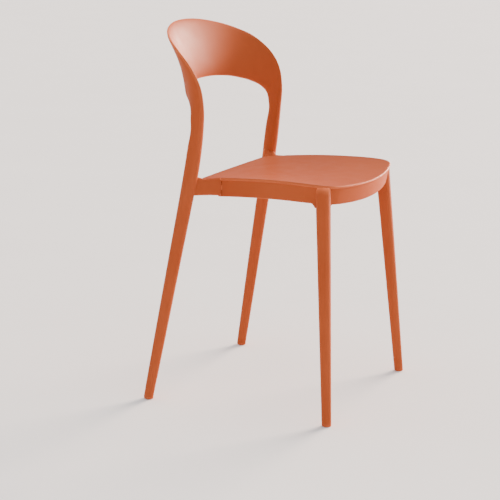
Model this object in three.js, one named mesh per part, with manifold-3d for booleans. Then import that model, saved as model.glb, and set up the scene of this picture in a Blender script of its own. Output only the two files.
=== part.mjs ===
// Stacking chair in two mouldings: a seat with its front legs, and an arched back with the rear legs.
// Millimetres, +Z up. +X is the sitter's left and -Y is the front of the chair.
// The origin is on the floor, in the middle of the chair's outer box.
import * as THREE from 'three';
import { mergeVertices } from 'three/addons/utils/BufferGeometryUtils.js';
import Module from 'manifold-3d';

const wasm = await Module();
wasm.setup();

// Driving dimensions. Depths (y) are measured from midway between the front and rear feet.
const SEAT_HEIGHT = 456;
const SEAT_FALL = 0.07;
const SEAT_CROWN = 10.5;
const SEAT_CROWN_SPAN = 175;
const SEAT_DISH = 7;
const SEAT_FRONT = -186;
const SEAT_REAR = 122;
const SEAT_HALF_WIDTH = 175;
const PANEL = 5;
const APRON_DEPTH = 37.3;
const APRON_WALL = 3.2;
const APRON_INSET = 2.6;
const APRON_LEAN_SIDE = 1;
const APRON_LEAN_FRONT = 5;
const APRON_TUCK = 2.2;
const HAUNCH = 8;
const LIP_DEPTH = 5.4;
const RIB_X = 60;
const RIB_Y = -50;
const RIB_DEPTH = 11;
const RIB_THICKNESS = 2.6;

const FRONT_FOOT = new THREE.Vector3(214, -188, 0);
const FRONT_LEG_TOP = new THREE.Vector3(168.2, -141.7, 455);
const FRONT_LEG_FOOT_RADIUS = 9.3;
const FRONT_LEG_TOP_RADIUS = 14;
const FRONT_LEG_FLATTENING = 0.24;
const FRONT_LEG_TOP_SQUARENESS = 3.4;

const REAR_FOOT = new THREE.Vector3(228, 188, 0);
const REAR_LEG_TOP = new THREE.Vector3(199, 128, 416);
const REAR_LEG_FOOT_RADIUS = 9.5;
const REAR_LEG_TOP_RADIUS = 14;

const BACK_HEIGHT = 735;
const BACK_RECLINE = 0.26;
const BARREL_HALF_WIDTH = 199;
const BARREL_DEPTH = 84;
const BARREL_DEEPENING = 0.17;
const BARREL_LEVEL = 600;
const BARREL_CENTRE = 101;
const ARCH_HEIGHT = 620;
const CROWN_THICKNESS = 7.5;
const CROWN_SAG = 9;

const TONGUE_TOP = 436;
const TONGUE_THICKNESS = 10;
const TONGUE_WIDTH = 22;
const TONGUE_X = 150;
const TONGUE_FRONT = 18;
const CHEEK_FRONT = 76;
const CHEEK_WIDTH = 15;
const CHEEK_BOTTOM = 413.5;
const CHEEK_FILLET = 14;
const RAIL_Y = 106;
const RAIL_WIDTH = 12;
const RAIL_LENGTH = 344;

const BOLT_YS = [32, 60];
const BOLT_RADIUS = 3;
const BOLT_HEAD_RADIUS = 6;
const BOLT_HEAD_HEIGHT = 3.5;
const BOLT_LENGTH = 19;
const WASHER_RADIUS = 8;
const WASHER_THICKNESS = 1.5;
const INSERT_RADIUS = 4.2;
const INSERT_LENGTH = 8;
const BOSS_RADIUS = 8;

const PAD_X = 128;
const PAD_YS = [-70, 10];
const PAD_RADIUS = 8;
const PAD_THICKNESS = 4;
const PAD_STEM_RADIUS = 3;
const PAD_STEM_LENGTH = 7;

const GLIDE_RADIUS = 7;
const GLIDE_LIP = 1.6;
const GLIDE_PROUD = 0.8;
const GLIDE_STEM_RADIUS = 4;
const GLIDE_STEM_LENGTH = 12;

const FOOT_ROUNDING = 1.6;
const GAP = 0.3;
const LOFT_POINTS = 16;
const OUTLINE_POINTS = 120;

// The two mouldings are one plastic; the fittings have their own.
function finish(color, roughness, metalness) {
  return new THREE.MeshStandardMaterial({ color, roughness, metalness });
}

const polypropylene = finish(0xb9683f, 0.5, 0);
const nylon = finish(0x8a4a2c, 0.6, 0);
const rubber = finish(0x3a2a24, 0.85, 0);
const zincSteel = finish(0xb8bcc0, 0.35, 1);
const brass = finish(0xb08d4a, 0.35, 1);

// Solids
function toSolid(geometry) {
  const bare = geometry.clone();
  bare.deleteAttribute('normal');
  bare.deleteAttribute('uv');
  const merged = mergeVertices(bare, 1e-4);
  const mesh = new wasm.Mesh({
    numProp: 3,
    vertProperties: new Float32Array(merged.attributes.position.array),
    triVerts: new Uint32Array(merged.index.array),
  });
  return new wasm.Manifold(mesh);
}

function toGeometry(solid) {
  const mesh = solid.getMesh();
  const geometry = new THREE.BufferGeometry();
  geometry.setAttribute('position', new THREE.BufferAttribute(mesh.vertProperties, 3));
  geometry.setIndex(new THREE.BufferAttribute(mesh.triVerts, 1));
  geometry.computeVertexNormals();
  return geometry;
}

// A skin over a row of rings that all have the same number of points; both ends are closed.
function loft(rings) {
  const count = rings[0].length;
  const ends = [rings[0], rings[rings.length - 1]].map(middleOf);
  const points = [...rings.flat(), ...ends];
  const faces = [];
  for (let row = 0; row + 1 < rings.length; row += 1) {
    for (let i = 0; i < count; i += 1) {
      const a = row * count + i;
      const b = row * count + ((i + 1) % count);
      faces.push(a, b, b + count, a, b + count, a + count);
    }
  }
  const firstEnd = rings.length * count;
  const lastRow = (rings.length - 1) * count;
  for (let i = 0; i < count; i += 1) {
    const next = (i + 1) % count;
    faces.push(firstEnd, next, i);
    faces.push(firstEnd + 1, lastRow + i, lastRow + next);
  }
  const geometry = new THREE.BufferGeometry();
  geometry.setFromPoints(points);
  geometry.setIndex(signedVolume(points, faces) < 0 ? faces.reverse() : faces);
  return geometry;
}

function middleOf(ring) {
  const sum = ring.reduce((total, point) => total.add(point), new THREE.Vector3());
  return sum.divideScalar(ring.length);
}

function signedVolume(points, faces) {
  let volume = 0;
  for (let i = 0; i < faces.length; i += 3) {
    const [a, b, c] = [points[faces[i]], points[faces[i + 1]], points[faces[i + 2]]];
    volume += a.dot(new THREE.Vector3().crossVectors(b, c));
  }
  return volume;
}

// A ring round a centre: a superellipse, round at squareness 2 and boxier above it.
// The bulge bows the middle of the ring along its thickness.
function sectionRing(centre, halfAcross, halfThrough, squareness, bulge = 0) {
  const outward = halfThrough.clone().normalize();
  const ring = [];
  for (let i = 0; i < LOFT_POINTS; i += 1) {
    const angle = (2 * Math.PI * i) / LOFT_POINTS;
    const u = softPower(Math.cos(angle), squareness);
    const v = softPower(Math.sin(angle), squareness);
    const point = centre.clone();
    point.addScaledVector(halfAcross, u);
    point.addScaledVector(halfThrough, v);
    point.addScaledVector(outward, bulge * (1 - u * u));
    ring.push(point);
  }
  return ring;
}

function softPower(value, squareness) {
  return Math.sign(value) * Math.abs(value) ** (2 / squareness);
}

function upright(radius, bottom, top, x, y) {
  const geometry = new THREE.CylinderGeometry(radius, radius, top - bottom, 16);
  geometry.rotateX(Math.PI / 2);
  geometry.translate(x, y, (top + bottom) / 2);
  return geometry;
}

function bothSides(solid) {
  return solid.add(solid.mirror([1, 0, 0]));
}

// The seat's surface is hollow across its width; the hollow runs out over the front edge.
function rimHeight(y) {
  return SEAT_HEIGHT - SEAT_FALL * y - SEAT_CROWN * (y / SEAT_CROWN_SPAN) ** 2;
}

function halfWidthAt(y) {
  const u = y / SEAT_CROWN_SPAN;
  return SEAT_HALF_WIDTH - 12 * u - 5 * u * u;
}

function seatSurface(x, y) {
  const across = Math.min(1, Math.abs(x) / halfWidthAt(y));
  const along = THREE.MathUtils.clamp((2 * y - SEAT_FRONT - SEAT_REAR) / (SEAT_REAR - SEAT_FRONT), 0, 1);
  return rimHeight(y) - SEAT_DISH * (1 - across ** 2) * (1 - along ** 2);
}

// The plan outline: a bowed front, rounded corners, sides that draw in, and a straighter rear.
function seatOutline() {
  const shape = new THREE.Shape();
  shape.moveTo(0, SEAT_REAR);
  shape.bezierCurveTo(60, SEAT_REAR, 110, 121, 146, 120);
  shape.quadraticCurveTo(162, 119, 162, 100);
  shape.bezierCurveTo(163, 66, 175, 10, 178, -50);
  shape.bezierCurveTo(183, -92, 185, -112, 183.5, -128);
  shape.bezierCurveTo(183.5, -146, 174, -159.5, 152, -166);
  shape.bezierCurveTo(115, -177, 55, SEAT_FRONT, 0, SEAT_FRONT);
  const half = shape.getSpacedPoints(OUTLINE_POINTS / 2);
  const other = half.slice(1, -1).reverse().map((point) => new THREE.Vector2(-point.x, point.y));
  return [...half, ...other];
}

const OUTLINE = seatOutline();

function insetPoint(i, inset) {
  const count = OUTLINE.length;
  const before = OUTLINE[(i + count - 1) % count];
  const after = OUTLINE[(i + 1) % count];
  const along = after.clone().sub(before).normalize();
  return OUTLINE[i].clone().add(new THREE.Vector2(along.y, -along.x).multiplyScalar(inset));
}

function seatRing(inset, drop) {
  return OUTLINE.map((edge, i) => {
    const point = insetPoint(i, inset(edge));
    return new THREE.Vector3(point.x, point.y, seatSurface(point.x, point.y) - drop(point));
  });
}

function shrunkRing(share, drop) {
  const middle = (SEAT_FRONT + SEAT_REAR) / 2;
  return OUTLINE.map((point) => {
    const x = point.x * share;
    const y = middle + (point.y - middle) * share;
    return new THREE.Vector3(x, y, seatSurface(x, y) - drop);
  });
}

// How near the apron comes to a front leg: 0 from a haunch's length off, 1 where they meet.
function legNearness(point, length) {
  const distance = Math.hypot(Math.abs(point.x) - FRONT_LEG_TOP.x, point.y - FRONT_LEG_TOP.y);
  return THREE.MathUtils.clamp(1 - (distance - FRONT_LEG_TOP_RADIUS) / length, 0, 1);
}

// The apron is shallow across the rear, where the back's rail closes the chair, and it runs
// down into each front leg in a small haunch.
function apronDrop(point) {
  const rise = THREE.MathUtils.smoothstep(point.y, CHEEK_FRONT + 2, CHEEK_FRONT + 14);
  return THREE.MathUtils.lerp(APRON_DEPTH + HAUNCH * legNearness(point, HAUNCH) ** 2, 2 * LIP_DEPTH, rise);
}

// The apron tucks in at the front legs, so that each leg stands a little proud of it.
function apronInset(point) {
  return APRON_INSET + APRON_TUCK * legNearness(point, 3 * HAUNCH);
}

// The apron leans inwards on its way down, more at the front than at the sides.
function apronBottomInset(point) {
  const share = THREE.MathUtils.smoothstep(-point.y, 60, 150);
  return apronInset(point) + THREE.MathUtils.lerp(APRON_LEAN_SIDE, APRON_LEAN_FRONT, share);
}

function seatShell() {
  const all = (value) => () => value;
  const wallInside = (point) => apronInset(point) + APRON_WALL;
  return loft([
    shrunkRing(0.02, 0),
    shrunkRing(0.35, 0),
    shrunkRing(0.7, 0),
    shrunkRing(0.9, 0),
    seatRing(all(3), all(0.2)),
    seatRing(all(0.9), all(0.9)),
    seatRing(all(0), all(2.4)),
    seatRing(all(0.5), all(4.4)),
    seatRing(apronInset, all(LIP_DEPTH)),
    seatRing(apronInset, all(LIP_DEPTH + 2)),
    seatRing(apronBottomInset, apronDrop),
    seatRing((point) => apronBottomInset(point) + APRON_WALL, apronDrop),
    seatRing(wallInside, all(PANEL + 3)),
    seatRing((point) => wallInside(point) + 3, all(PANEL)),
    shrunkRing(0.7, PANEL),
    shrunkRing(0.35, PANEL),
    shrunkRing(0.02, PANEL),
  ]);
}

// A rib hangs from the underside between two places and follows the surface.
function rib(from, to) {
  const steps = 8;
  const direction = to.clone().sub(from).normalize();
  const side = new THREE.Vector2(-direction.y, direction.x).multiplyScalar(RIB_THICKNESS / 2);
  const rings = [];
  for (let i = 0; i <= steps; i += 1) {
    const place = from.clone().lerp(to, i / steps);
    const top = seatSurface(place.x, place.y) - PANEL / 2;
    const bottom = top - PANEL / 2 - RIB_DEPTH;
    rings.push([
      new THREE.Vector3(place.x - side.x, place.y - side.y, bottom),
      new THREE.Vector3(place.x + side.x, place.y + side.y, bottom),
      new THREE.Vector3(place.x + side.x, place.y + side.y, top),
      new THREE.Vector3(place.x - side.x, place.y - side.y, top),
    ]);
  }
  return loft(rings);
}

// The front leg is round at the foot and turns into a soft-cornered box, deeper than it is wide.
function frontLegRings() {
  const rings = [];
  for (const share of [0, 0.004, 0.2, 0.4, 0.6, 0.8, 1]) {
    const z = THREE.MathUtils.lerp(GLIDE_PROUD, FRONT_LEG_TOP.z, share);
    const centre = FRONT_FOOT.clone().lerp(FRONT_LEG_TOP, z / FRONT_LEG_TOP.z);
    const rounding = share === 0 ? FOOT_ROUNDING : 0;
    const radius = THREE.MathUtils.lerp(FRONT_LEG_FOOT_RADIUS, FRONT_LEG_TOP_RADIUS, share) - rounding;
    const across = new THREE.Vector3(radius * (1 - FRONT_LEG_FLATTENING * share), 0, 0);
    const through = new THREE.Vector3(0, radius, 0);
    const squareness = THREE.MathUtils.lerp(2, FRONT_LEG_TOP_SQUARENESS, share);
    rings.push(sectionRing(centre, across, through, squareness));
  }
  return rings;
}

// Each foot has a pocket that takes most of the glide's disc, and a bore for its stem.
function glideBore(foot, top) {
  const { x, y } = foot.clone().lerp(top, GLIDE_STEM_LENGTH / 2 / top.z);
  const stem = upright(GLIDE_STEM_RADIUS + GAP, 0, GLIDE_LIP + GLIDE_STEM_LENGTH + GAP, x, y);
  const pocket = upright(GLIDE_RADIUS + GAP, 0, GLIDE_LIP + GAP, x, y);
  return toSolid(stem).add(toSolid(pocket));
}

function padCentreHeight(y) {
  return seatSurface(PAD_X, y) - APRON_DEPTH - 3;
}

function seatFrame() {
  let solid = toSolid(seatShell());
  solid = solid.add(bothSides(toSolid(loft(frontLegRings()))));
  for (const x of [-RIB_X, RIB_X]) {
    const front = new THREE.Vector2(x, SEAT_FRONT + 8);
    solid = solid.add(toSolid(rib(front, new THREE.Vector2(x, RAIL_Y - 10))));
  }
  const reach = halfWidthAt(RIB_Y) - APRON_INSET - 3;
  solid = solid.add(toSolid(rib(new THREE.Vector2(-reach, RIB_Y), new THREE.Vector2(reach, RIB_Y))));
  for (const y of BOLT_YS) {
    const top = seatSurface(TONGUE_X, y) - PANEL + 1;
    solid = solid.add(bothSides(toSolid(upright(BOSS_RADIUS, TONGUE_TOP + GAP, top, TONGUE_X, y))));
  }
  for (const y of PAD_YS) {
    const top = seatSurface(PAD_X, y) - PANEL + 1;
    const bottom = padCentreHeight(y) + PAD_THICKNESS + GAP;
    solid = solid.add(bothSides(toSolid(upright(PAD_RADIUS - 1, bottom, top, PAD_X, y))));
  }
  for (const y of BOLT_YS) {
    const bore = upright(INSERT_RADIUS + GAP, TONGUE_TOP - 1, TONGUE_TOP + INSERT_LENGTH + 2 * GAP + 0.4,
      TONGUE_X, y);
    solid = solid.subtract(bothSides(toSolid(bore)));
  }
  for (const y of PAD_YS) {
    const bottom = padCentreHeight(y);
    const bore = upright(PAD_STEM_RADIUS + GAP, bottom, bottom + PAD_THICKNESS + PAD_STEM_LENGTH + GAP,
      PAD_X, y);
    solid = solid.subtract(bothSides(toSolid(bore)));
  }
  solid = solid.subtract(bothSides(glideBore(FRONT_FOOT, FRONT_LEG_TOP)));
  return solid.subtract(backConnections(GAP));
}

// The back: one sweep from foot to foot, up one leg, round the crown and down the other.
function barrelY(x, z) {
  const centre = BARREL_CENTRE + BACK_RECLINE * (z - BARREL_LEVEL);
  const depth = BARREL_DEPTH + BARREL_DEEPENING * (z - BARREL_LEVEL);
  return centre + depth * Math.sqrt(Math.max(0, 1 - (x / BARREL_HALF_WIDTH) ** 2));
}

function onBarrel(x, z) {
  return new THREE.Vector3(x, barrelY(x, z), z);
}

// Stations up one side: the front edge, the rear edge, the thickness, the squareness and the bulge,
// which pushes the middle of the section towards the sitter.
function backStations() {
  const stations = [];
  for (const share of [0, 0.012, 0.25, 0.5, 0.75, 1]) {
    const z = THREE.MathUtils.lerp(GLIDE_PROUD, REAR_LEG_TOP.z, share);
    const centre = REAR_FOOT.clone().lerp(REAR_LEG_TOP, z / REAR_LEG_TOP.z);
    const rounding = share === 0 ? FOOT_ROUNDING : 0;
    const radius = THREE.MathUtils.lerp(REAR_LEG_FOOT_RADIUS, REAR_LEG_TOP_RADIUS, share ** 0.8) - rounding;
    const reach = new THREE.Vector3(0, radius, 0);
    const front = centre.clone().sub(reach);
    const rear = centre.clone().add(reach);
    stations.push({ front, rear, thick: 2 * radius, square: 2, bulge: 0 });
  }
  const at = (x, y, z) => new THREE.Vector3(x, y, z);
  const add = (front, rear, thick, square, bulge) => stations.push({ front, rear, thick, square, bulge });
  add(at(195.5, 107, 466), at(194.5, 136, 466), 25, 2.3, 0);
  add(at(194, 103, 508), at(192, 131, 508), 22, 2.6, 0);
  add(at(194.5, 100.5, 548), at(191, 126, 541), 19, 2.8, 0);
  add(at(197.5, 100, 588), at(188.5, 127.5, 560), 16, 2.8, -1);
  add(at(199, 108.5, 629), at(183, 130, 576), 13, 2.8, -1);
  add(at(197, 130, 663), at(172, 139, 590), 11, 2.8, 1);
  add(at(184, 165, 693), onBarrel(153, 601.5), 9.5, 2.8, 5);
  add(at(158, 195, 710), onBarrel(128, 609), CROWN_THICKNESS + 1, 2.8, CROWN_SAG - 1);
  add(at(121, 218, 722), onBarrel(96, 615), CROWN_THICKNESS, 2.8, CROWN_SAG);
  add(at(62, 237, 732), onBarrel(49, ARCH_HEIGHT - 1), CROWN_THICKNESS, 2.8, CROWN_SAG);
  add(at(0, 243, BACK_HEIGHT), onBarrel(0, ARCH_HEIGHT), CROWN_THICKNESS, 2.8, CROWN_SAG);
  return stations;
}

function backRings() {
  const stations = backStations();
  const full = [...stations, ...stations.slice(0, -1).reverse().map((station) => ({
    ...station,
    front: station.front.clone().setX(-station.front.x),
    rear: station.rear.clone().setX(-station.rear.x),
  }))];
  const values = full.map((station) => new THREE.Vector3(station.thick, station.square, station.bulge));
  const frontCurve = new THREE.CatmullRomCurve3(full.map((station) => station.front), false, 'centripetal');
  const rearCurve = new THREE.CatmullRomCurve3(full.map((station) => station.rear), false, 'centripetal');
  const legs = 6;
  const rings = [];
  for (let i = 0; i + 1 < full.length; i += 1) {
    const onLeg = i < legs - 1 || i >= full.length - legs;
    const steps = onLeg ? 1 : 4;
    for (let step = 0; step < steps; step += 1) {
      rings.push(backRing(frontCurve, rearCurve, values, (i + step / steps) / (full.length - 1)));
    }
  }
  rings.push(backRing(frontCurve, rearCurve, values, 1));
  return rings;
}

function backRing(frontCurve, rearCurve, values, t) {
  const place = t * (values.length - 1);
  const low = Math.min(Math.floor(place), values.length - 2);
  const value = values[low].clone().lerp(values[low + 1], place - low);
  const front = frontCurve.getPoint(t);
  const rear = rearCurve.getPoint(t);
  const centre = front.clone().add(rear).multiplyScalar(0.5);
  const halfAcross = front.clone().sub(rear).multiplyScalar(0.5);
  const small = 0.5 / (values.length - 1);
  const ahead = middleAt(frontCurve, rearCurve, Math.min(1, t + small));
  const behind = middleAt(frontCurve, rearCurve, Math.max(0, t - small));
  const outward = new THREE.Vector3().crossVectors(halfAcross, ahead.sub(behind));
  outward.z *= THREE.MathUtils.smoothstep(centre.z, REAR_LEG_TOP.z, REAR_LEG_TOP.z + 60);
  const halfThrough = outward.setLength(value.x / 2);
  return sectionRing(centre, halfAcross, halfThrough, value.y, value.z);
}

function middleAt(frontCurve, rearCurve, t) {
  return frontCurve.getPoint(t).add(rearCurve.getPoint(t)).multiplyScalar(0.5);
}

// The cheek runs forward from each upright to the seat's side; the tongue carries on under the seat.
// The rail joins the uprights under the seat's rear edge. A margin makes them larger all round.
function backConnections(margin) {
  const cheekPath = [
    new THREE.Vector3(192, 124, 0), new THREE.Vector3(178, 108, 0),
    new THREE.Vector3(166, 93, 0), new THREE.Vector3(157, CHEEK_FRONT, 0),
  ];
  const curve = new THREE.CatmullRomCurve3(cheekPath);
  const rings = [];
  for (let i = 0; i <= 8; i += 1) {
    const share = i / 8;
    const centre = curve.getPoint(share);
    const tangent = curve.getTangent(share);
    const fillet = CHEEK_FILLET * Math.max(0, 1 - 2 * share) ** 1.5;
    const top = rimHeight(centre.y) - 0.4 + fillet;
    centre.z = (top + CHEEK_BOTTOM) / 2;
    const across = new THREE.Vector3(0, 0, (top - CHEEK_BOTTOM) / 2 + margin);
    const width = CHEEK_WIDTH / 2 + margin;
    const through = new THREE.Vector3(tangent.y, -tangent.x, 0).normalize().multiplyScalar(width);
    if (i === 8) centre.addScaledVector(tangent, margin);
    rings.push(sectionRing(centre, across, through, 5));
  }
  const tongue = new THREE.BoxGeometry(
    TONGUE_WIDTH + 2 * margin, CHEEK_FRONT + 20 - TONGUE_FRONT + 2 * margin, TONGUE_THICKNESS + 2 * margin);
  tongue.translate(TONGUE_X, (CHEEK_FRONT + 20 + TONGUE_FRONT) / 2, TONGUE_TOP - TONGUE_THICKNESS / 2);
  const railTop = rimHeight(RAIL_Y) - PANEL - SEAT_DISH * 0.3;
  const railBottom = rimHeight(RAIL_Y) - APRON_DEPTH + 6;
  const rail = new THREE.BoxGeometry(RAIL_LENGTH, RAIL_WIDTH + 2 * margin, railTop - railBottom + 2 * margin);
  rail.translate(0, RAIL_Y, (railTop + railBottom) / 2);
  return bothSides(toSolid(loft(rings))).add(bothSides(toSolid(tongue))).add(toSolid(rail));
}

function backFrame() {
  let solid = toSolid(loft(backRings())).add(backConnections(0));
  for (const y of BOLT_YS) {
    const hole = upright(BOLT_RADIUS + GAP, TONGUE_TOP - TONGUE_THICKNESS - 1, TONGUE_TOP + 1, TONGUE_X, y);
    solid = solid.subtract(bothSides(toSolid(hole)));
  }
  return solid.subtract(bothSides(glideBore(REAR_FOOT, REAR_LEG_TOP)));
}

// Fittings
function turned(profile, segments = 16) {
  const geometry = new THREE.LatheGeometry(profile.map(([r, z]) => new THREE.Vector2(r, z)), segments);
  geometry.rotateX(Math.PI / 2);
  return geometry;
}

function glide() {
  return turned([
    [0, 0], [GLIDE_RADIUS - 0.6, 0], [GLIDE_RADIUS, 0.6], [GLIDE_RADIUS, GLIDE_LIP],
    [GLIDE_STEM_RADIUS, GLIDE_LIP],
    [GLIDE_STEM_RADIUS - 0.4, GLIDE_LIP + GLIDE_STEM_LENGTH], [0, GLIDE_LIP + GLIDE_STEM_LENGTH],
  ]);
}

function bolt() {
  const socket = 2;
  return turned([
    [0, socket], [2, socket], [2, 0], [BOLT_HEAD_RADIUS - 1.2, 0], [BOLT_HEAD_RADIUS, 1.4],
    [BOLT_HEAD_RADIUS, BOLT_HEAD_HEIGHT], [BOLT_RADIUS, BOLT_HEAD_HEIGHT],
    [BOLT_RADIUS, BOLT_HEAD_HEIGHT + BOLT_LENGTH - 0.8],
    [BOLT_RADIUS - 0.8, BOLT_HEAD_HEIGHT + BOLT_LENGTH], [0, BOLT_HEAD_HEIGHT + BOLT_LENGTH],
  ]);
}

function ring(inner, outer, height) {
  return turned([[inner, 0], [outer, 0], [outer, height], [inner, height], [inner, 0]]);
}

function stackPad() {
  return turned([
    [0, 0], [PAD_RADIUS - 1, 0], [PAD_RADIUS, 1], [PAD_RADIUS, PAD_THICKNESS],
    [PAD_STEM_RADIUS, PAD_THICKNESS], [PAD_STEM_RADIUS, PAD_THICKNESS + PAD_STEM_LENGTH],
    [0, PAD_THICKNESS + PAD_STEM_LENGTH],
  ]);
}

const chair = new THREE.Group();

function place(name, geometry, material, x = 0, y = 0, z = 0) {
  const mesh = new THREE.Mesh(geometry, material);
  mesh.name = name;
  mesh.position.set(x, y, z);
  chair.add(mesh);
}

place('seat_frame', toGeometry(seatFrame()), polypropylene);
place('back_frame', toGeometry(backFrame()), polypropylene);

for (const [side, sign] of [['left', 1], ['right', -1]]) {
  const frontGlide = FRONT_FOOT.clone().lerp(FRONT_LEG_TOP, GLIDE_STEM_LENGTH / 2 / FRONT_LEG_TOP.z);
  const rearGlide = REAR_FOOT.clone().lerp(REAR_LEG_TOP, GLIDE_STEM_LENGTH / 2 / REAR_LEG_TOP.z);
  place(`front_${side}_glide`, glide(), nylon, sign * frontGlide.x, frontGlide.y, 0);
  place(`rear_${side}_glide`, glide(), nylon, sign * rearGlide.x, rearGlide.y, 0);
  BOLT_YS.forEach((y, i) => {
    const rank = ['front', 'rear'][i];
    const washerZ = TONGUE_TOP - TONGUE_THICKNESS - GAP - WASHER_THICKNESS;
    const insertZ = TONGUE_TOP + GAP + 0.2;
    place(`${rank}_${side}_insert`, ring(BOLT_RADIUS + GAP, INSERT_RADIUS, INSERT_LENGTH), brass,
      sign * TONGUE_X, y, insertZ);
    place(`${rank}_${side}_washer`, ring(BOLT_RADIUS + GAP, WASHER_RADIUS, WASHER_THICKNESS), zincSteel,
      sign * TONGUE_X, y, washerZ);
    place(`${rank}_${side}_bolt`, bolt(), zincSteel, sign * TONGUE_X, y, washerZ - GAP - BOLT_HEAD_HEIGHT);
  });
  PAD_YS.forEach((y, i) => {
    const rank = ['front', 'rear'][i];
    place(`${rank}_${side}_stack_pad`, stackPad(), rubber, sign * PAD_X, y, padCentreHeight(y));
  });
}

// Centre the chair's outer box over the origin.
const box = new THREE.Box3().setFromObject(chair);
const centred = new THREE.Group();
centred.name = 'stacking_chair';
chair.position.set(0, -(box.min.y + box.max.y) / 2, 0);
centred.add(chair);

export default centred;
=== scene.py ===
# %% [markdown]
# # A stacking chair in two mouldings
# This lesson finishes a plastic stacking chair. The seat and its front legs are one moulding; the
# rear legs, the uprights and the arched crown are another. The measured model is loaded first and
# stays where it is. Its small fittings keep their shapes and get finishes, and the two mouldings
# are remade with finer, rounder skins. The order is camera, back, seat, finishes, then light.

# %% Load the measured chair
import math
import bpy
from mathutils import Matrix, Vector


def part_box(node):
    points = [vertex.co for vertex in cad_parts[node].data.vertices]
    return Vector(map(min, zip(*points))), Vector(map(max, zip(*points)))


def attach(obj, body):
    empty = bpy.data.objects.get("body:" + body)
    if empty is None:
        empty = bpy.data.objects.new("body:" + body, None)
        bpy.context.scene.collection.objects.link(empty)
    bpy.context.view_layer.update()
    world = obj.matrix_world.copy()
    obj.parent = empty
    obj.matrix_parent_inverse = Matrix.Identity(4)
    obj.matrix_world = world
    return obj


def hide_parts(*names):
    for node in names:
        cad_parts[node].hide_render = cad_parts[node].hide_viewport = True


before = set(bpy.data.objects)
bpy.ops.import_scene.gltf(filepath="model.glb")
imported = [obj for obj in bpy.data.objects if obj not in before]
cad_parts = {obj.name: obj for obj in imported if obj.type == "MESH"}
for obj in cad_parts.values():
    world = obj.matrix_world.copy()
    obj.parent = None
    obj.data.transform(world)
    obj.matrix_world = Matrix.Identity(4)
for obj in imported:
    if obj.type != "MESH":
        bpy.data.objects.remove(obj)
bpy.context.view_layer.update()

# %% [markdown]
# ## Where things are
# The drawing of the chair counts depth from a line midway between the front and rear feet. The
# stacking pads give that line's place, because the front pads sit 70 mm ahead of it. A small
# helper turns a drawing measure in millimetres into a place in the scene.

# %% From the drawing to the scene
PAD_AHEAD = 70
pad_low, pad_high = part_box("front_left_stack_pad")
DEPTH_LINE = (pad_low[1] + pad_high[1]) / 2 + PAD_AHEAD / 1000


def at(x, y, z):
    """A place in the scene, in metres, from a drawing measure in millimetres."""
    return Vector((x / 1000, y / 1000 + DEPTH_LINE, z / 1000))


def mix(a, b, share):
    return a + (b - a) * share


def smooth_step(value, low, high):
    share = min(1, max(0, (value - low) / (high - low)))
    return share * share * (3 - 2 * share)


print("depth line at", round(DEPTH_LINE, 4))

# %% [markdown]
# ## The camera
# A chair is shown well from a little above the seat and off to one side, with a long lens that
# keeps the legs from spreading. The camera's axes are worked out from two angles and a small roll,
# and a slight shift centres the chair without turning the lens.

# %% Camera
CAMERA_PLACE = Vector((-3.12415, -1.29020, 1.03714))
CAMERA_AZIMUTH = math.radians(-66.6567)
CAMERA_ELEVATION = math.radians(12.5517)
CAMERA_ROLL = math.radians(2.0073)
LENS, SENSOR_WIDTH = 122.11, 36
SHIFT_ACROSS, SHIFT_UP = 0.00384, -0.00646

bpy.ops.object.select_all(action="DESELECT")
bpy.ops.object.camera_add()
camera = bpy.context.object
camera.name = "camera"
camera.data.lens = LENS
camera.data.sensor_width = SENSOR_WIDTH
camera.data.shift_x = SHIFT_ACROSS
camera.data.shift_y = SHIFT_UP

back = Vector((math.sin(CAMERA_AZIMUTH) * math.cos(CAMERA_ELEVATION),
               -math.cos(CAMERA_AZIMUTH) * math.cos(CAMERA_ELEVATION), math.sin(CAMERA_ELEVATION)))
right = Vector((math.cos(CAMERA_AZIMUTH), math.sin(CAMERA_AZIMUTH), 0))
turn = Matrix.Rotation(CAMERA_ROLL, 3, back)
right = turn @ right
up = back.cross(right)
axes = Matrix((right, up, back)).transposed().to_4x4()
camera.matrix_world = Matrix.Translation(CAMERA_PLACE) @ axes
bpy.context.scene.camera = camera
print("camera at", [round(v, 3) for v in CAMERA_PLACE])

# %% [markdown]
# ## Skins laid on sections
# Legs, uprights and seat all change their section as they go. One way to make such a shape is a
# curve with a bevel, but that keeps one section along the whole curve. Here a flat grid is used
# instead: each of its rows is laid on one section of the piece, the seam is merged and the two
# open ends are filled. Every section can then differ, and the faces stay even for shading.

# %% Helper: a grid laid on sections
SHARP_EDGE = math.radians(40)


def only(piece):
    bpy.ops.object.select_all(action="DESELECT")
    piece.select_set(True)
    bpy.context.view_layer.objects.active = piece


def skin(name, sections):
    """A closed piece over a row of sections that all have the same number of points."""
    rows, around = len(sections), len(sections[0])
    bpy.ops.object.select_all(action="DESELECT")
    bpy.ops.mesh.primitive_grid_add(x_subdivisions=around, y_subdivisions=rows - 1, size=1)
    piece = bpy.context.object
    piece.name = piece.data.name = name
    in_order = sorted(piece.data.vertices, key=lambda v: (round(v.co.y, 5), round(v.co.x, 5)))
    for i, vertex in enumerate(in_order):
        row, column = divmod(i, around + 1)
        vertex.co = sections[row][column % around]
    bpy.ops.object.mode_set(mode="EDIT")
    bpy.ops.mesh.select_all(action="SELECT")
    bpy.ops.mesh.remove_doubles(threshold=1e-6)
    bpy.ops.mesh.select_all(action="DESELECT")
    bpy.ops.mesh.select_non_manifold()
    bpy.ops.mesh.edge_face_add()
    bpy.ops.mesh.select_all(action="SELECT")
    bpy.ops.mesh.normals_make_consistent(inside=False)
    bpy.ops.object.mode_set(mode="OBJECT")
    bpy.ops.object.shade_smooth_by_angle(angle=SHARP_EDGE)
    return piece


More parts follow.
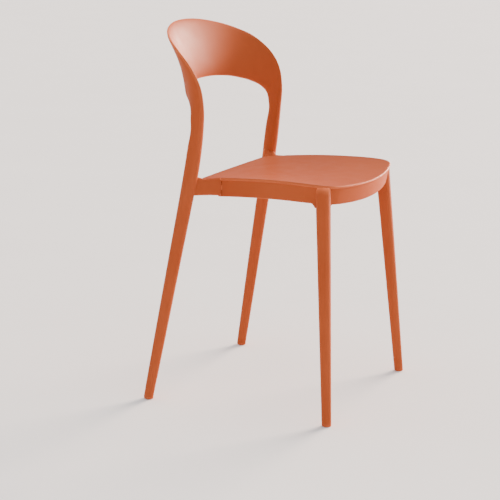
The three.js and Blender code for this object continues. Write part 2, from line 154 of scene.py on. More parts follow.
def section(middle, half_across, half_through, squareness, bulge=0, points=48):
    """A rounded section: round at squareness 2 and boxier above it, bowed by the bulge."""
    outward = half_through.normalized()
    ring = []
    for i in range(points):
        angle = 2 * math.pi * i / points
        u, v = (math.copysign(abs(wave) ** (2 / squareness), wave)
                for wave in (math.cos(angle), math.sin(angle)))
        ring.append(middle + half_across * u + half_through * v + outward * bulge * (1 - u * u))
    return ring


sample = section(Vector(), Vector((1, 0, 0)), Vector((0, 1, 0)), 2)
print("a section has", len(sample), "points")

# %% [markdown]
# ## Smooth lines through stations
# An upright is known at a few stations up its length. A curve through them that speeds up and
# slows down with their spacing, a centripetal Catmull-Rom curve, never loops or overshoots
# between two close stations, so it is used for every edge of the back.

# %% Helper: a curve through stations
def through(stations, t):
    """The place at t, from 0 to 1, on a centripetal curve through the stations."""
    last = len(stations) - 1
    i = min(int(t * last), last - 1)
    w = t * last - i
    p1, p2 = stations[i], stations[i + 1]
    p0 = stations[i - 1] if i > 0 else p1 * 2 - p2
    p3 = stations[i + 2] if i + 2 <= last else p2 * 2 - p1
    d0, d1, d2 = (max(math.sqrt((b - a).length), 1e-4) for a, b in ((p0, p1), (p1, p2), (p2, p3)))
    start = ((p1 - p0) / d0 - (p2 - p0) / (d0 + d1) + (p2 - p1) / d1) * d1
    end = ((p2 - p1) / d1 - (p3 - p1) / (d1 + d2) + (p3 - p2) / d2) * d1
    return (p1 + start * w + (p2 * 3 - p1 * 3 - start * 2 - end) * w ** 2
            + (p1 * 2 - p2 * 2 + start + end) * w ** 3)


ruler = [Vector((mark, 0, 0)) for mark in (0, 10, 20)]
print("halfway through marks 0, 10 and 20:", round(through(ruler, 0.5).x, 3))

# %% [markdown]
# ## The back moulding
# The rear legs, uprights and crown are one bar that starts round at the foot, flattens on its way
# up and spreads into a thin, tall crown that wraps round the sitter. It could be cut from a curved
# sheet, but its edges turn too freely for that. So two lines are drawn, the front edge and the
# rear edge of the bar, and the sections span the space between them. The crown lies on a leaning
# barrel, and its lower edge forms the arch over the hand opening.

# %% The barrel that the crown lies on
BACK_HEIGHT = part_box("back_frame")[1][2] * 1000
BARREL_HALF_WIDTH = 199
BARREL_LEVEL = 600
BARREL_SIDES_Y, BARREL_DEPTH = 101, 84
BARREL_LEAN, BARREL_DEEPENING = 0.26, 0.17
ARCH_HEIGHT = 620


def barrel_y(x, z):
    lean = BARREL_LEAN * (z - BARREL_LEVEL)
    depth = BARREL_DEPTH + BARREL_DEEPENING * (z - BARREL_LEVEL)
    plan = math.sqrt(max(0, 1 - (x / BARREL_HALF_WIDTH) ** 2))
    return BARREL_SIDES_Y + lean + depth * plan


def on_barrel(x, z):
    return Vector((x, barrel_y(x, z), z))


print("back height", round(BACK_HEIGHT, 1))

# %% [markdown]
# ## Stations up one side
# Each station holds the front edge, the rear edge, and three numbers: the bar's thickness, how
# boxy its section is, and how far its middle bows towards the sitter. Only one side is written
# down; the other is its mirror image.

# %% The stations
FOOT_ROUNDING = 1.6
GLIDE_PROUD = 0.8
REAR_FOOT, REAR_LEG_TOP = Vector((228, 188, 0)), Vector((199, 128, 416))
REAR_FOOT_RADIUS, REAR_TOP_RADIUS = 9.5, 14

stations = []
for share in (0.012, 0.25, 0.5, 0.75, 1):
    z = mix(GLIDE_PROUD, REAR_LEG_TOP.z, share)
    middle = REAR_FOOT.lerp(REAR_LEG_TOP, z / REAR_LEG_TOP.z)
    radius = mix(REAR_FOOT_RADIUS, REAR_TOP_RADIUS, share ** 0.8)
    reach = Vector((0, radius, 0))
    stations.append((middle - reach, middle + reach, Vector((2 * radius, 2, 0))))
stations += [
    (Vector((195.5, 107, 466)), Vector((194.5, 136, 466)), Vector((25, 2.3, 0))),
    (Vector((194, 103, 508)), Vector((192, 131, 508)), Vector((22, 2.6, 0))),
    (Vector((194.5, 100.5, 548)), Vector((191, 126, 541)), Vector((19, 2.8, 0))),
    (Vector((197.5, 100, 588)), Vector((188.5, 127.5, 560)), Vector((16, 2.8, -1))),
    (Vector((199, 108.5, 629)), Vector((183, 130, 576)), Vector((13, 2.8, -1))),
    (Vector((197, 130, 663)), Vector((172, 139, 590)), Vector((11, 2.8, 1))),
    (Vector((184, 165, 693)), on_barrel(153, 601.5), Vector((9.5, 2.8, 5))),
    (Vector((158, 195, 710)), on_barrel(128, 609), Vector((8.5, 2.8, 8))),
    (Vector((121, 218, 722)), on_barrel(96, 615), Vector((7.5, 2.8, 9))),
    (Vector((62, 237, 732)), on_barrel(49, ARCH_HEIGHT - 1), Vector((7.5, 2.8, 9))),
    (Vector((0, 243, BACK_HEIGHT)), on_barrel(0, ARCH_HEIGHT), Vector((7.5, 2.8, 9))),
]


def other_side(place):
    return Vector((-place.x, place.y, place.z))


stations += [(other_side(front), other_side(rear), shape)
             for front, rear, shape in stations[-2::-1]]
front_edge, rear_edge, shapes = zip(*stations)
print(len(stations), "stations from foot to foot")

# %% [markdown]
# ## From stations to a bar
# Sections are set close together along the two edges. On the legs they are kept level, as the
# feet are cut level; above the seat they turn to stand across the bar. The foot's lower edge gets
# a small quarter-round, as a moulded foot has.

# %% The bar
BAR_SECTIONS = 440


def bar_section(t, shrink=0.0, lift=None):
    front, rear = through(front_edge, t), through(rear_edge, t)
    shape = through(shapes, t)
    step = 0.25 / (len(stations) - 1)
    ahead = sum((through(edge, min(1, t + step)) for edge in (front_edge, rear_edge)), Vector())
    behind = sum((through(edge, max(0, t - step)) for edge in (front_edge, rear_edge)), Vector())
    middle, half_across = (front + rear) / 2, (front - rear) / 2
    outward = half_across.cross(ahead - behind)
    outward.z *= smooth_step(middle.z, REAR_LEG_TOP.z, REAR_LEG_TOP.z + 60)
    half_across = half_across * (1 - shrink / half_across.length)
    half_through = outward.normalized() * (shape.x / 2 - shrink)
    if lift is not None:
        half_across.z = 0
        middle.z = lift
    ring = section(middle, half_across, half_through, max(2, shape.y), shape.z)
    return [at(*place) for place in ring]


foot_rings = []
for i in range(6):
    angle = math.pi / 2 * i / 6
    shrink = FOOT_ROUNDING * (1 - math.sin(angle))
    foot_rings.append((shrink, GLIDE_PROUD + FOOT_ROUNDING * (1 - math.cos(angle))))
bar_rings = [bar_section(0, shrink, lift) for shrink, lift in foot_rings]
bar_rings += [bar_section(i / BAR_SECTIONS) for i in range(BAR_SECTIONS + 1)]
bar_rings += [bar_section(1, shrink, lift) for shrink, lift in reversed(foot_rings)]
back_bar = skin("back_bar", bar_rings)
print("back bar", len(back_bar.data.polygons), "faces")

# %% [markdown]
# ## Cheeks, tongues and rail
# The back takes hold of the seat in three places: a cheek that runs forward from each upright to
# the seat's side, a tongue that carries each cheek on under the seat, and a rail across. The same
# three are needed twice, once as plastic and once a little larger, to cut their pocket out of the
# seat, so one function makes them all with a margin. The cheek swells into the upright, as a
# moulded corner does, and its front end has softened edges that show the joint as a fine line.

# %% The seat's surface, which the cheeks follow
SEAT_HEIGHT = 456
SEAT_FRONT, SEAT_REAR = -186, 122
SEAT_DISH = 7
PANEL = 5
APRON_DEPTH = 37.3


def rim_height(y):
    return SEAT_HEIGHT - 0.07 * y - 10.5 * (y / 175) ** 2


def half_width(y):
    u = y / 175
    return 175 - 12 * u - 5 * u * u


def seat_height(x, y):
    across = min(1, abs(x) / half_width(y))
    along = min(1, max(0, (2 * y - SEAT_FRONT - SEAT_REAR) / (SEAT_REAR - SEAT_FRONT)))
    return rim_height(y) - SEAT_DISH * (1 - across ** 2) * (1 - along ** 2)


print("seat middle at", round(seat_height(0, -40), 1), "mm")

# %% [markdown]
# ## Joining, mirroring and cutting
# A moulding is one body in the hand, but it is easier to model as several shapes that overlap.
# Joining puts them into one piece, and a cut takes a pocket or a hole out with Blender's boolean
# modifier. The left side is made first and mirrored to the right.

# %% Helper: joining and cutting
SOFT_STEPS = 3


def join(pieces):
    """All of these as one piece, under the first one's name."""
    bpy.ops.object.select_all(action="DESELECT")
    for piece in pieces:
        piece.select_set(True)
    bpy.context.view_layer.objects.active = pieces[0]
    bpy.ops.object.join()
    return pieces[0]


def mirrored(piece):
    """A copy on the chair's other side, turned right side out again."""
    only(piece)
    bpy.ops.object.duplicate()
    copy = bpy.context.object
    for vertex in copy.data.vertices:
        vertex.co.x = -vertex.co.x
    bpy.ops.object.mode_set(mode="EDIT")
    bpy.ops.mesh.select_all(action="SELECT")
    bpy.ops.mesh.flip_normals()
    bpy.ops.object.mode_set(mode="OBJECT")
    return copy


def cut(piece, cutter):
    """Takes the cutter's shape out of the piece, and removes the cutter."""
    only(piece)
    boolean = piece.modifiers.new("cut", "BOOLEAN")
    boolean.operation = "DIFFERENCE"
    boolean.solver = "EXACT"
    boolean.object = cutter
    bpy.ops.object.modifier_apply(modifier="cut")
    bpy.data.objects.remove(cutter, do_unlink=True)
    return piece


def block(name, low, high, softness):
    """A moulded bar between two corners, with softened edges."""
    bpy.ops.object.select_all(action="DESELECT")
    middle = (at(*low) + at(*high)) / 2
    bpy.ops.mesh.primitive_cube_add(size=1, location=middle, scale=at(*high) - at(*low))
    piece = bpy.context.object
    piece.name = piece.data.name = name
    bpy.ops.object.transform_apply(location=True, rotation=True, scale=True)
    if softness:
        bpy.ops.object.mode_set(mode="EDIT")
        bpy.ops.mesh.select_all(action="SELECT")
        bpy.ops.mesh.bevel(offset=softness / 1000, segments=SOFT_STEPS, affect="EDGES")
        bpy.ops.object.mode_set(mode="OBJECT")
        bpy.ops.object.shade_smooth_by_angle(angle=SHARP_EDGE)
    return piece


print("edges are softened in", SOFT_STEPS, "steps")

# %% Cheeks, tongues and rail
CHEEK_FRONT, CHEEK_BOTTOM, CHEEK_WIDTH, CHEEK_FILLET = 76, 413.5, 15, 14
CHEEK_LINE = [Vector((192, 124, 0)), Vector((178, 108, 0)), Vector((166, 93, 0)),
              Vector((157, CHEEK_FRONT, 0))]
TONGUE_X, TONGUE_WIDTH, TONGUE_FRONT = 150, 22, 18
TONGUE_TOP, TONGUE_THICKNESS = 436, 10
RAIL_Y, RAIL_WIDTH, RAIL_LENGTH = 106, 12, 344
RAIL_FOOT_LIFT = 6
RAIL_TOP = rim_height(RAIL_Y) - PANEL - SEAT_DISH * 0.3
RAIL_BOTTOM = rim_height(RAIL_Y) - APRON_DEPTH + RAIL_FOOT_LIFT
CHEEK_SECTIONS, CURL_SECTIONS = 40, 5
CHEEK_FLARE, CHEEK_SQUARENESS = 5, 5


def cheek(margin, softness):
    rings = []
    for i in range(CHEEK_SECTIONS + CURL_SECTIONS + 1):
        share = min(1, i / CHEEK_SECTIONS)
        curl = max(0, i - CHEEK_SECTIONS) / CURL_SECTIONS
        middle = through(CHEEK_LINE, share)
        heading = (through(CHEEK_LINE, min(1, share + 0.01)) - through(CHEEK_LINE, share - 0.01)
                   if share > 0.01 else CHEEK_LINE[1] - CHEEK_LINE[0]).normalized()
        fillet = CHEEK_FILLET * max(0, 1 - 2 * share) ** 1.5
        top = rim_height(middle.y) - 0.4 + fillet
        middle.z = (top + CHEEK_BOTTOM) / 2
        shrink = softness * (1 - math.cos(math.pi / 2 * curl))
        middle += heading * (margin * (share == 1) + softness * (math.sin(math.pi / 2 * curl) - 1)
                             * (share == 1))
        across = Vector((0, 0, (top - CHEEK_BOTTOM) / 2 + margin - shrink))
        flare = CHEEK_FLARE * max(0, 1 - 2.4 * share) ** 2
        wide = Vector((heading.y, -heading.x, 0)) * (CHEEK_WIDTH / 2 + margin - shrink + flare)
        rings.append([at(*place) for place in section(middle, across, wide, CHEEK_SQUARENESS)])
    return skin("cheek", rings)


def holds(margin, softness):
    """The cheeks, tongues and rail as separate closed shapes, larger all round by the margin."""
    left = cheek(margin, softness)
    tongue = block("tongue",
                   (TONGUE_X - TONGUE_WIDTH / 2 - margin, TONGUE_FRONT - margin,
                    TONGUE_TOP - TONGUE_THICKNESS - margin),
                   (TONGUE_X + TONGUE_WIDTH / 2 + margin, CHEEK_FRONT + 20 + margin,
                    TONGUE_TOP + margin), softness)
    rail = block("rail",
                 (-RAIL_LENGTH / 2, RAIL_Y - RAIL_WIDTH / 2 - margin, RAIL_BOTTOM - margin),
                 (RAIL_LENGTH / 2, RAIL_Y + RAIL_WIDTH / 2 + margin, RAIL_TOP + margin), softness)
    return [left, mirrored(left), tongue, mirrored(tongue), rail]


back_holds = holds(0, 0.9)
print("holds", [piece.name for piece in back_holds])

# %% [markdown]
# ## Holes for the bolts and the glides
# Two bolts pass up through each tongue into the seat, and each foot has a pocket for its glide.
# The bolts and glides are measured fittings, so every hole is a short cylinder set on the
# fitting's own place and cut out of the plastic.

# %% Holes
CLEARANCE = 0.3
BOLT_RADIUS = 3
GLIDE_RADIUS, GLIDE_THICKNESS = 7, 1.6
GLIDE_STEM_RADIUS, GLIDE_STEM_TOP = 4, 13.6


def rod(place, radius, bottom, top, around=32):
    """An upright cylinder; place holds x and y in the scene, the heights are in millimetres."""
    bpy.ops.object.select_all(action="DESELECT")
    bpy.ops.mesh.primitive_cylinder_add(vertices=around, radius=radius / 1000,
                                        depth=(top - bottom) / 1000,
                                        location=(place[0], place[1], (top + bottom) / 2000))
    bpy.ops.object.transform_apply(location=True, rotation=True, scale=True)
    bpy.ops.object.shade_smooth_by_angle(angle=SHARP_EDGE)
    return bpy.context.object


def middle_of(node):
    low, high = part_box(node)
    return (low[0] + high[0]) / 2, (low[1] + high[1]) / 2


for tongue in back_holds[2:4]:
    side = "left" if tongue.data.vertices[0].co.x > 0 else "right"
    for rank in ("front", "rear"):
        hole = rod(middle_of(f"{rank}_{side}_bolt"), BOLT_RADIUS + CLEARANCE,
                   TONGUE_TOP - TONGUE_THICKNESS - 1, TONGUE_TOP + 1)
        cut(tongue, hole)


def glide_pocket(piece, node):
    place = middle_of(node)
    cut(piece, rod(place, GLIDE_RADIUS + CLEARANCE, -1, GLIDE_THICKNESS + CLEARANCE))
    cut(piece, rod(place, GLIDE_STEM_RADIUS + CLEARANCE, 1, GLIDE_STEM_TOP + CLEARANCE))


for side in ("left", "right"):
    glide_pocket(back_bar, f"rear_{side}_glide")
back_shell = join([back_bar] + back_holds)
back_shell.name = back_shell.data.name = "back_shell"
print("back shell", len(back_shell.data.polygons), "faces")

# %% [markdown]
# ## The seat's outline
# Seen from above, the seat has a bowed front, rounded front corners, sides that draw in towards
# the back, and a nearly straight rear. One half is drawn with Bezier curves and mirrored. The
# points are then spaced evenly, so that the faces along the lip are all alike.

# %% Outline
OUTLINE_POINTS = 600
OUTLINE_HALF = [
    [(0, 122), (60, 122), (110, 121), (146, 120)],
    [(146, 120), (156.67, 119.33), (162, 112.67), (162, 100)],
    [(162, 100), (163, 66), (175, 10), (178, -50)],
    [(178, -50), (183, -92), (185, -112), (183.5, -128)],
    [(183.5, -128), (183.5, -146), (174, -159.5), (152, -166)],
    [(152, -166), (115, -177), (55, -186), (0, -186)],
]


def bezier(ends, t):
    a, b, c, d = (Vector(point) for point in ends)
    s = 1 - t
    return a * s ** 3 + b * 3 * s * s * t + c * 3 * s * t * t + d * t ** 3


fine = [bezier(piece, i / 100) for piece in OUTLINE_HALF for i in range(100)]
fine.append(Vector((0, SEAT_FRONT)))
lengths = [0]
for before, after in zip(fine, fine[1:]):
    lengths.append(lengths[-1] + (after - before).length)
half_outline, place = [], 0
for i in range(OUTLINE_POINTS // 2 + 1):
    want = lengths[-1] * i / (OUTLINE_POINTS // 2)
    while place < len(fine) - 2 and lengths[place + 1] < want:
        place += 1
    share = (want - lengths[place]) / (lengths[place + 1] - lengths[place])
    half_outline.append(fine[place].lerp(fine[place + 1], share))
outline = half_outline + [Vector((-p.x, p.y)) for p in half_outline[-2:0:-1]]
print("outline of", len(outline), "points,", round(2 * lengths[-1]), "mm round")

# %% [markdown]
# ## The seat shell
# The shell is a thin panel with a rounded lip at its edge and a deep apron under the lip. The
# apron leans inwards as it goes down, tucks in beside the front legs so that they stand a little
# proud, and runs down into them in a small rounded haunch. Across the rear it is cut short,
# where the back's rail closes the chair. All of this is one skin: sections shaped like the
# outline go in over the top, out round the lip, down the apron, round its lower edge and back
# in under the panel. Each is stated as an inset from the outline and a drop below the surface.

# %% Insets and drops
APRON_WALL, APRON_INSET, APRON_TUCK = 3.2, 2.6, 2.2
APRON_LEAN_SIDE, APRON_LEAN_FRONT = 1, 5
LIP_DEPTH = 5.4
HAUNCH = 8
FRONT_FOOT, FRONT_LEG_TOP = Vector((214, -188, 0)), Vector((168.2, -141.7, 455))
FRONT_FOOT_RADIUS, FRONT_TOP_RADIUS = 9.3, 14


def leg_nearness(point, length):
    distance = math.hypot(abs(point.x) - FRONT_LEG_TOP.x, point.y - FRONT_LEG_TOP.y)
    return min(1, max(0, 1 - (distance - FRONT_TOP_RADIUS) / length))


def apron_inset(point):
    return APRON_INSET + APRON_TUCK * leg_nearness(point, 3 * HAUNCH)


def apron_bottom_inset(point):
    lean = mix(APRON_LEAN_SIDE, APRON_LEAN_FRONT, smooth_step(-point.y, 60, 150))
    return apron_inset(point) + lean


def apron_drop(point):
    haunch = HAUNCH * leg_nearness(point, HAUNCH) ** 2
    rise = smooth_step(point.y, CHEEK_FRONT + 2, CHEEK_FRONT + 14)
    return mix(APRON_DEPTH + haunch, 2 * LIP_DEPTH, rise)


def seat_ring(inset, drop):
    """One section of the shell; inset and drop are functions of the outline point."""
    ring = []
    for i, edge in enumerate(outline):
        along = (outline[(i + 1) % len(outline)] - outline[i - 1]).normalized()
        point = edge + Vector((along.y, -along.x)) * inset(edge)
        ring.append(at(point.x, point.y, seat_height(point.x, point.y) - drop(point)))
    return ring


def shrunk_ring(share, drop):
    middle = Vector((0, (SEAT_FRONT + SEAT_REAR) / 2))
    points = [middle + (edge - middle) * share for edge in outline]
    return [at(p.x, p.y, seat_height(p.x, p.y) - drop) for p in points]


def fixed(value):
    return lambda point: value


front_middle = Vector((0, SEAT_FRONT))
print("apron inset", round(apron_inset(FRONT_LEG_TOP), 1), "mm beside a leg and",
      round(apron_inset(front_middle), 1), "mm at the front")

# %% [markdown]
# ## The shell's profile
# The lip is written as close pairs of an inset and a drop, so that its rounded edge catches the
# light as one clean line. The apron's wall goes down in shares that are closest at its top. The
# hem, which is the wall's lower edge, is pairs of a further inset and a rise above the lowest
# line. The last pairs make a fillet where the wall meets the panel's underside.

# %% The shell
SHARES = [0.02, 0.06, 0.12, 0.2, 0.28, 0.36, 0.44, 0.52, 0.6, 0.67, 0.74, 0.8, 0.85, 0.89, 0.92]
LIP = ((7, 0), (5, 0.02), (3.6, 0.1), (2.5, 0.25), (1.6, 0.5), (0.9, 0.9), (0.4, 1.4), (0.1, 1.9),
       (0, 2.5), (0.1, 3.2), (0.3, 3.9), (0.7, 4.5), (1.3, 5), (2, 5.3))
DOWN_THE_APRON = (0.05, 0.12, 0.22, 0.34, 0.46, 0.58, 0.7, 0.82, 0.92)
HEM = ((0, 1), (0.15, 0.4), (0.5, 0.1), (1, 0), (APRON_WALL - 1, 0), (APRON_WALL - 0.5, 0.1),
       (APRON_WALL - 0.15, 0.4), (APRON_WALL, 1))
FILLET = ((0, PANEL + 5), (0.5, PANEL + 3), (1.5, PANEL + 1.2), (3, PANEL + 0.4), (5, PANEL))

shell_rings = [shrunk_ring(share, 0) for share in SHARES]
for inset, drop in LIP:
    shell_rings.append(seat_ring(fixed(inset), fixed(drop)))
shell_rings.append(seat_ring(lambda p: apron_inset(p) - 0.3, fixed(LIP_DEPTH)))
shell_rings.append(seat_ring(apron_inset, fixed(LIP_DEPTH + 0.3)))
for share in DOWN_THE_APRON:
    shell_rings.append(seat_ring(lambda p, s=share: mix(apron_inset(p), apron_bottom_inset(p), s),
                                 lambda p, s=share: mix(LIP_DEPTH + 0.3, apron_drop(p), s)))
for extra, rise in HEM:
    shell_rings.append(seat_ring(lambda p, e=extra: apron_bottom_inset(p) + e,
                                 lambda p, r=rise: apron_drop(p) - r))
for inset, drop in FILLET:
    shell_rings.append(seat_ring(lambda p, e=inset: apron_inset(p) + APRON_WALL + e, fixed(drop)))
shell_rings += [shrunk_ring(share, PANEL) for share in SHARES[-2::-1]]
seat_shell = skin("seat_shell", shell_rings)
print("seat shell", len(seat_shell.data.polygons), "faces")

# %% [markdown]
# ## Cutting the pocket
# The cheeks, tongues and rail are made a second time, 0.3 mm larger all round, and cut out of the
# shell one after another. The joint between the two mouldings then keeps an even gap.

# %% Pocket
for piece in holds(CLEARANCE, 0):
    cut(seat_shell, piece)
print("seat shell after cutting", len(seat_shell.data.polygons), "faces")

# %% [markdown]
# ## Front legs
# A front leg is round at the foot and turns into a soft-cornered box, deeper than it is wide, by
# the time it meets the seat. It is laid on sections like the back, and its top ends inside the
# seat's panel, so that no gap shows under the lip.

# %% Front legs
FOOT_SECTIONS, LEG_SECTIONS = 6, 63
FRONT_LEG_FLATTENING, FRONT_LEG_SQUARENESS = 0.24, 3.4


def front_leg():
    rings = []
    for i in range(FOOT_SECTIONS + LEG_SECTIONS + 1):
        share = max(0, i - FOOT_SECTIONS) / LEG_SECTIONS
        angle = math.pi / 2 * min(1, i / FOOT_SECTIONS)
        shrink = FOOT_ROUNDING * (1 - math.sin(angle))
        lift = FOOT_ROUNDING * (1 - math.cos(angle))
        z = mix(GLIDE_PROUD + lift, FRONT_LEG_TOP.z, share)
        middle = FRONT_FOOT.lerp(FRONT_LEG_TOP, z / FRONT_LEG_TOP.z)
        radius = mix(FRONT_FOOT_RADIUS, FRONT_TOP_RADIUS, share) - shrink
        wide = Vector((radius * (1 - FRONT_LEG_FLATTENING * share), 0, 0))
        deep = Vector((0, radius, 0))
        ring = section(middle, wide, deep, mix(2, FRONT_LEG_SQUARENESS, share))
        rings.append([at(*place) for place in ring])
    return skin("front_leg", rings)


left_leg = front_leg()
front_legs = [left_leg, mirrored(left_leg)]
for leg, side in zip(front_legs, ("left", "right")):
    glide_pocket(leg, f"front_{side}_glide")
print("front legs", [len(leg.data.polygons) for leg in front_legs])

# %% [markdown]
# ## Ribs and bosses
# Under the panel, two long ribs and one cross rib stiffen the seat. Hollow bosses take the
# threaded inserts over the tongues, and short posts hold the stacking pads. A rib is a grid laid
# on narrow sections that follow the surface; a boss is a cylinder with its bore cut out. Their
# upper ends stop inside the panel.

# %% Ribs
RIB_X, RIB_Y, RIB_DEPTH, RIB_THICKNESS = 60, -50, 11, 2.6


def rib(start, end):
    aside = Vector((-(end - start).y, (end - start).x)).normalized() * RIB_THICKNESS / 2
    rings = []
    for i in range(33):
        place = start.lerp(end, i / 32)
        top = seat_height(place.x, place.y) - PANEL / 2
        bottom = top - PANEL / 2 - RIB_DEPTH
        profile = [(-1, top), (-0.8, bottom + 0.6), (-0.5, bottom + 0.1), (0.5, bottom + 0.1),
                   (0.8, bottom + 0.6), (1, top)]
        rings.append([at(*(place + aside * a), z) for a, z in profile])
    return skin("rib", rings)


rib_reach = half_width(RIB_Y) - APRON_INSET - 3
ribs = [rib(Vector((x, SEAT_FRONT + 8)), Vector((x, RAIL_Y - 10))) for x in (-RIB_X, RIB_X)]
ribs.append(rib(Vector((-rib_reach, RIB_Y)), Vector((rib_reach, RIB_Y))))
print(len(ribs), "ribs")

# %% Bosses and pad posts
BOSS_RADIUS, INSERT_RADIUS, BORE_DEPTH = 8, 4.2, 9
POST_RADIUS, PAD_STEM_RADIUS, PAD_THICKNESS, PAD_X = 7, 3, 4, 128
bosses = []
for side in ("left", "right"):
    for rank in ("front", "rear"):
        place = middle_of(f"{rank}_{side}_insert")
        top = seat_height(TONGUE_X, (place[1] - DEPTH_LINE) * 1000) - PANEL + 1
        boss = rod(place, BOSS_RADIUS, TONGUE_TOP + CLEARANCE, top)
        cut(boss, rod(place, INSERT_RADIUS + CLEARANCE, TONGUE_TOP - 1, TONGUE_TOP + BORE_DEPTH))
        bosses.append(boss)
        place = middle_of(f"{rank}_{side}_stack_pad")
        pad_low, pad_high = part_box(f"{rank}_{side}_stack_pad")
        top = seat_height(PAD_X, (place[1] - DEPTH_LINE) * 1000) - PANEL + 1
        seat_face = pad_low[2] * 1000 + PAD_THICKNESS + CLEARANCE
        post = rod(place, POST_RADIUS, seat_face, top)
        cut(post, rod(place, PAD_STEM_RADIUS + CLEARANCE, seat_face - 1,
                      pad_high[2] * 1000 + CLEARANCE))
        bosses.append(post)
seat_shell = join([seat_shell] + front_legs + ribs + bosses)
print("seat with legs, ribs and bosses", len(seat_shell.data.polygons), "faces")

# %% [markdown]
# ## Terracotta plastic
# Both mouldings are polypropylene, coloured all through, from a mould with a fine satin texture.
# The colour drifts very slightly where the melt cooled at different speeds, the texture is a fine
# even grain that softens every reflection, and handling polishes it a little in patches. One
# colour would look like paint, so the material mixes three noises: a broad one for the drift, a
# middling one for the gloss and a fine one for the grain. They all read Object coordinates, so
# the texture is the same size everywhere and needs no unwrapping.
#
# The edges that hands and other chairs rub against are paler. This paler colour is partly wear and
# partly a painted highlight, in place of the thin bright lines along the lip and the crown's edge.
# Painting them by hand would be slow, so the geometry's own Pointiness, which is high where a
# surface bends outwards, picks them out.
# The specular level is far below the real plastic's, because the bright surroundings would
# otherwise lay a white veil over every surface that is seen at a low angle.

# %% Helper: a material's nodes
def new_material(name):
    material = bpy.data.materials.new(name)
    material.use_nodes = True
    nodes, links = material.node_tree.nodes, material.node_tree.links
    return material, nodes, links, nodes["Principled BSDF"]


def linear(*colour):
    """An sRGB colour from 0 to 255 as the linear values that shaders use."""
    def channel(value):
        value /= 255
        return value / 12.92 if value <= 0.04045 else ((value + 0.055) / 1.055) ** 2.4
    return (*(channel(value) for value in colour), 1)


def noise(nodes, links, scale, detail, roughness=0.5):
    place = nodes.new("ShaderNodeTexCoord")
    texture = nodes.new("ShaderNodeTexNoise")
    texture.inputs["Scale"].default_value = scale
    texture.inputs["Detail"].default_value = detail
    texture.inputs["Roughness"].default_value = roughness
    links.new(place.outputs["Object"], texture.inputs["Vector"])
    return texture.outputs["Fac"]


def ramp(nodes, links, source, stops):
    node = nodes.new("ShaderNodeValToRGB")
    elements = node.color_ramp.elements
    for element, (place, colour) in zip(elements, stops):
        element.position, element.color = place, colour
    links.new(source, node.inputs["Fac"])
    return node.outputs["Color"]


def spread(nodes, links, source, low, high):
    node = nodes.new("ShaderNodeMapRange")
    node.inputs["From Min"].default_value = 0.3
    node.inputs["From Max"].default_value = 0.7
    node.inputs["To Min"].default_value = low
    node.inputs["To Max"].default_value = high
    links.new(source, node.inputs["Value"])
    return node.outputs["Result"]


def bump(nodes, links, shader, height, strength, distance):
    node = nodes.new("ShaderNodeBump")
    node.inputs["Strength"].default_value = strength
    node.inputs["Distance"].default_value = distance
    links.new(height, node.inputs["Height"])
    links.new(node.outputs["Normal"], shader.inputs["Normal"])


print("mid grey as a linear value:", round(linear(128, 128, 128)[0], 3))

# %% Moulded plastic
EDGE_STARTS, EDGE_IS_FULL = 0.508, 0.56
LOW_SPECULAR = 0.02


def moulded_plastic(name, dark, light, gloss, grain=1400, depth=0.00006, wear_and_highlight_share=0.85):
    material, nodes, links, shader = new_material(name)
    drift = noise(nodes, links, 7, 3)
    colour = ramp(nodes, links, drift, ((0.3, linear(*dark)), (0.7, linear(*light))))
    # Paler convex edges: partly wear, partly a painted highlight for the bright lines along the
    # edges.
    edges = nodes.new("ShaderNodeNewGeometry").outputs["Pointiness"]
    wear_and_highlight_mask = nodes.new("ShaderNodeMapRange")
    wear_and_highlight_mask.inputs["From Min"].default_value = EDGE_STARTS
    wear_and_highlight_mask.inputs["From Max"].default_value = EDGE_IS_FULL
    wear_and_highlight_mask.inputs["To Max"].default_value = wear_and_highlight_share
    links.new(edges, wear_and_highlight_mask.inputs["Value"])
    wear_and_highlight_colour = nodes.new("ShaderNodeMixRGB")
    # The pale edge colour, which is wear and a painted highlight in one.
    wear_and_highlight_colour.inputs["Color2"].default_value = linear(*(min(255, 1.25 * value + 24) for value in light))
    links.new(wear_and_highlight_mask.outputs["Result"], wear_and_highlight_colour.inputs["Fac"])
    links.new(colour, wear_and_highlight_colour.inputs["Color1"])
    links.new(wear_and_highlight_colour.outputs["Color"], shader.inputs["Base Color"])
    patches = noise(nodes, links, 38, 4, 0.6)
    links.new(spread(nodes, links, patches, *gloss), shader.inputs["Roughness"])
    bump(nodes, links, shader, noise(nodes, links, grain, 2, 0.6), 0.35, depth)
    shader.inputs["IOR"].default_value = 1.49
    shader.inputs["Specular IOR Level"].default_value = LOW_SPECULAR
    return material


terracotta = moulded_plastic("terracotta_polypropylene", (164, 76, 41), (171, 82, 46), (0.44, 0.52))
nylon = moulded_plastic("brown_nylon", (112, 56, 34), (124, 64, 40), (0.45, 0.6), 900, 0.00005)
rubber = moulded_plastic("dark_rubber", (44, 32, 28), (56, 42, 36), (0.75, 0.9), 1800, 0.00012)
print("plastics", [m.name for m in (terracotta, nylon, rubber)])

# %% [markdown]
# ## Plated steel and brass
# The bolts and washers are zinc plated, which gives a bluish metal with a faint cloudy bloom, and
# the inserts are turned brass with fine rings left by the cutter. Metal needs little colour work:
# its look comes from how the roughness changes, so that is where the noise goes.

# %% Metals
def plated_metal(name, dark, light, gloss, scale):
    material, nodes, links, shader = new_material(name)
    bloom = noise(nodes, links, scale, 5, 0.6)
    links.new(ramp(nodes, links, bloom, ((0.35, linear(*dark)), (0.65, linear(*light)))),
              shader.inputs["Base Color"])
    links.new(spread(nodes, links, bloom, *gloss), shader.inputs["Roughness"])
    bump(nodes, links, shader, noise(nodes, links, 4 * scale, 2), 0.2, 0.00003)
    shader.inputs["Metallic"].default_value = 1
    return material


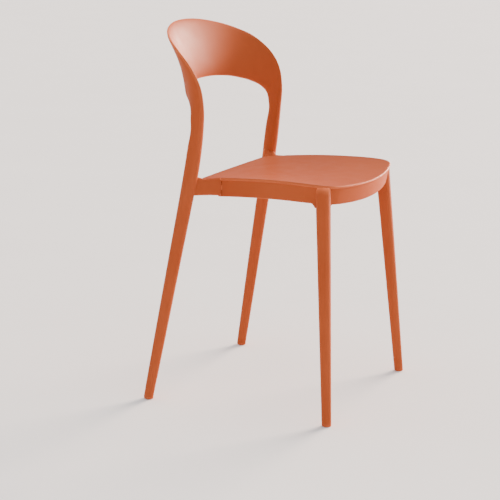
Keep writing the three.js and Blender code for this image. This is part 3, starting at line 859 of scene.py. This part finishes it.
zinc = plated_metal("zinc_plated_steel", (172, 178, 186), (206, 210, 214), (0.22, 0.42), 420)
brass = plated_metal("turned_brass", (176, 138, 72), (204, 166, 92), (0.2, 0.35), 600)
print("metals", zinc.name, brass.name)

# %% [markdown]
# ## Putting the finishes on
# The two new skins stand for the two measured mouldings. The fittings are the measured nodes
# themselves, each with the finish of its kind.

# %% Finishes
def finish(piece, material):
    piece.data.materials.clear()
    piece.data.materials.append(material)


finish(back_shell, terracotta)
finish(seat_shell, terracotta)
for piece, node, slot in ((back_shell, "back_frame", "back_plastic"),
                          (seat_shell, "seat_frame", "seat_plastic")):
    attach(piece, "root")
    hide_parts(node)

KINDS = {"glide": nylon, "pad": rubber, "bolt": zinc, "washer": zinc, "insert": brass}
for node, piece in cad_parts.items():
    kind = node.split("_")[-1]
    if kind in KINDS:
        for material_slot in piece.material_slots:
            material_slot.material = KINDS[kind]
print("fittings finished:", sum(node.split("_")[-1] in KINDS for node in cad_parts))

# %% [markdown]
# ## Floor and light
# The chair stands on a plain white floor. One large, soft and slightly warm light comes in low
# from the sitter's left and a little from the front: it gives the glow inside the crown and the
# brighter front apron. An area lamp close by would leave the edge of its beam on the floor, so a
# sun lamp with a wide angle is used. The surroundings are nearly white, a little brighter
# overhead than at the horizon, and keep the shadows open.

# %% Floor
bpy.ops.object.select_all(action="DESELECT")
bpy.ops.mesh.primitive_circle_add(vertices=128, radius=40, fill_type="NGON")
floor = bpy.context.object
floor.name = "floor"
paper, nodes, links, shader = new_material("white_floor")
links.new(ramp(nodes, links, noise(nodes, links, 3, 2), ((0.3, (0.93, 0.93, 0.93, 1)),
                                                         (0.7, (0.95, 0.95, 0.95, 1)))),
          shader.inputs["Base Color"])
shader.inputs["Roughness"].default_value = 0.9
finish(floor, paper)
print("floor", [round(side, 1) for side in floor.dimensions])

# %% Lights
KEY_HEADING = Vector((-0.95, 0.25, -0.09))
KEY_STRENGTH, KEY_SPREAD, KEY_COLOUR = 28, math.radians(36), (1, 0.78, 0.65)
HORIZON_GLOW, OVERHEAD_GLOW = 0.85, 1.15

bpy.ops.object.select_all(action="DESELECT")
bpy.ops.object.light_add(type="SUN")
key = bpy.context.object
key.name = "key"
key.data.energy = KEY_STRENGTH
key.data.color = KEY_COLOUR
key.data.angle = KEY_SPREAD
key.rotation_euler = KEY_HEADING.to_track_quat("-Z", "Y").to_euler()

world = bpy.data.worlds.new("bright_surround")
bpy.context.scene.world = world
world.use_nodes = True
nodes, links = world.node_tree.nodes, world.node_tree.links
nodes["Background"].inputs["Color"].default_value = (0.96, 0.98, 1, 1)
direction = nodes.new("ShaderNodeTexCoord")
height = nodes.new("ShaderNodeSeparateXYZ")
links.new(direction.outputs["Generated"], height.inputs["Vector"])
glow = nodes.new("ShaderNodeMapRange")
glow.inputs["To Min"].default_value = HORIZON_GLOW
glow.inputs["To Max"].default_value = OVERHEAD_GLOW
links.new(height.outputs["Z"], glow.inputs["Value"])
links.new(glow.outputs["Result"], nodes["Background"].inputs["Strength"])
print("lit by", key.name, "and", world.name)
